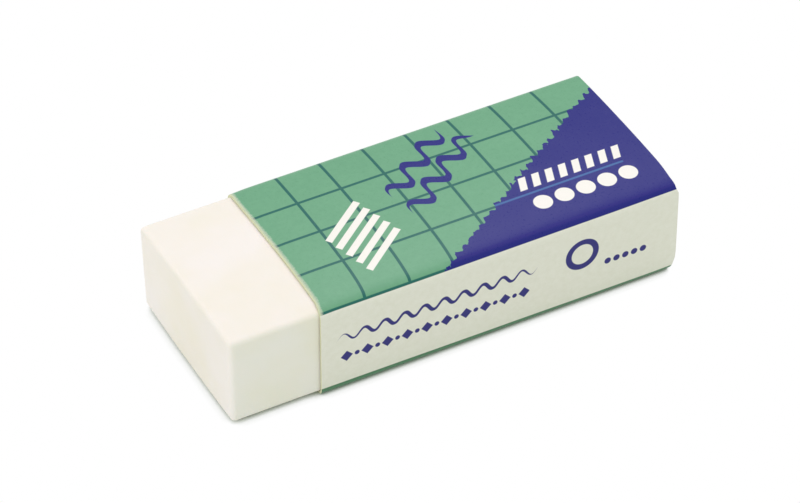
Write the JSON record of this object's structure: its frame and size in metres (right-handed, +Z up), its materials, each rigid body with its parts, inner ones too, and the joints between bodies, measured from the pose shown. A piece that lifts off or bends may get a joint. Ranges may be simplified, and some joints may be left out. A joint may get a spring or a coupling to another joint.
{
  "type": "rubber eraser",
  "caption": "White rectangular rubber eraser block with softly rounded edges, sliding in a folded card sleeve that leaves one end bare.",
  "frame": {"origin": "middle of the eraser's footprint, at the underside of the sleeve, on the surface that it lies on", "axes": "+X along the block, from its bare end towards the sleeve's far end; +Y across it, towards the wall with the glued seam; +Z up"},
  "size_m": [0.0562, 0.0236, 0.0127],
  "materials": {
    "white_rubber": "matte white vinyl rubber with a faint bloom",
    "printed_card": "satin printed card, green with a fine dark grid, a blue corner and cream sides"
  },
  "bodies": {
    "sleeve": {"card_sleeve": "printed_card"},
    "block": {"eraser_block": "white_rubber"}
  },
  "joints": [
    {"name": "block_slide", "type": "slide", "parent": "sleeve", "child": "block", "axis": [1, 0, 0], "range_m": [-0.015, 0.0112]}
  ]
}
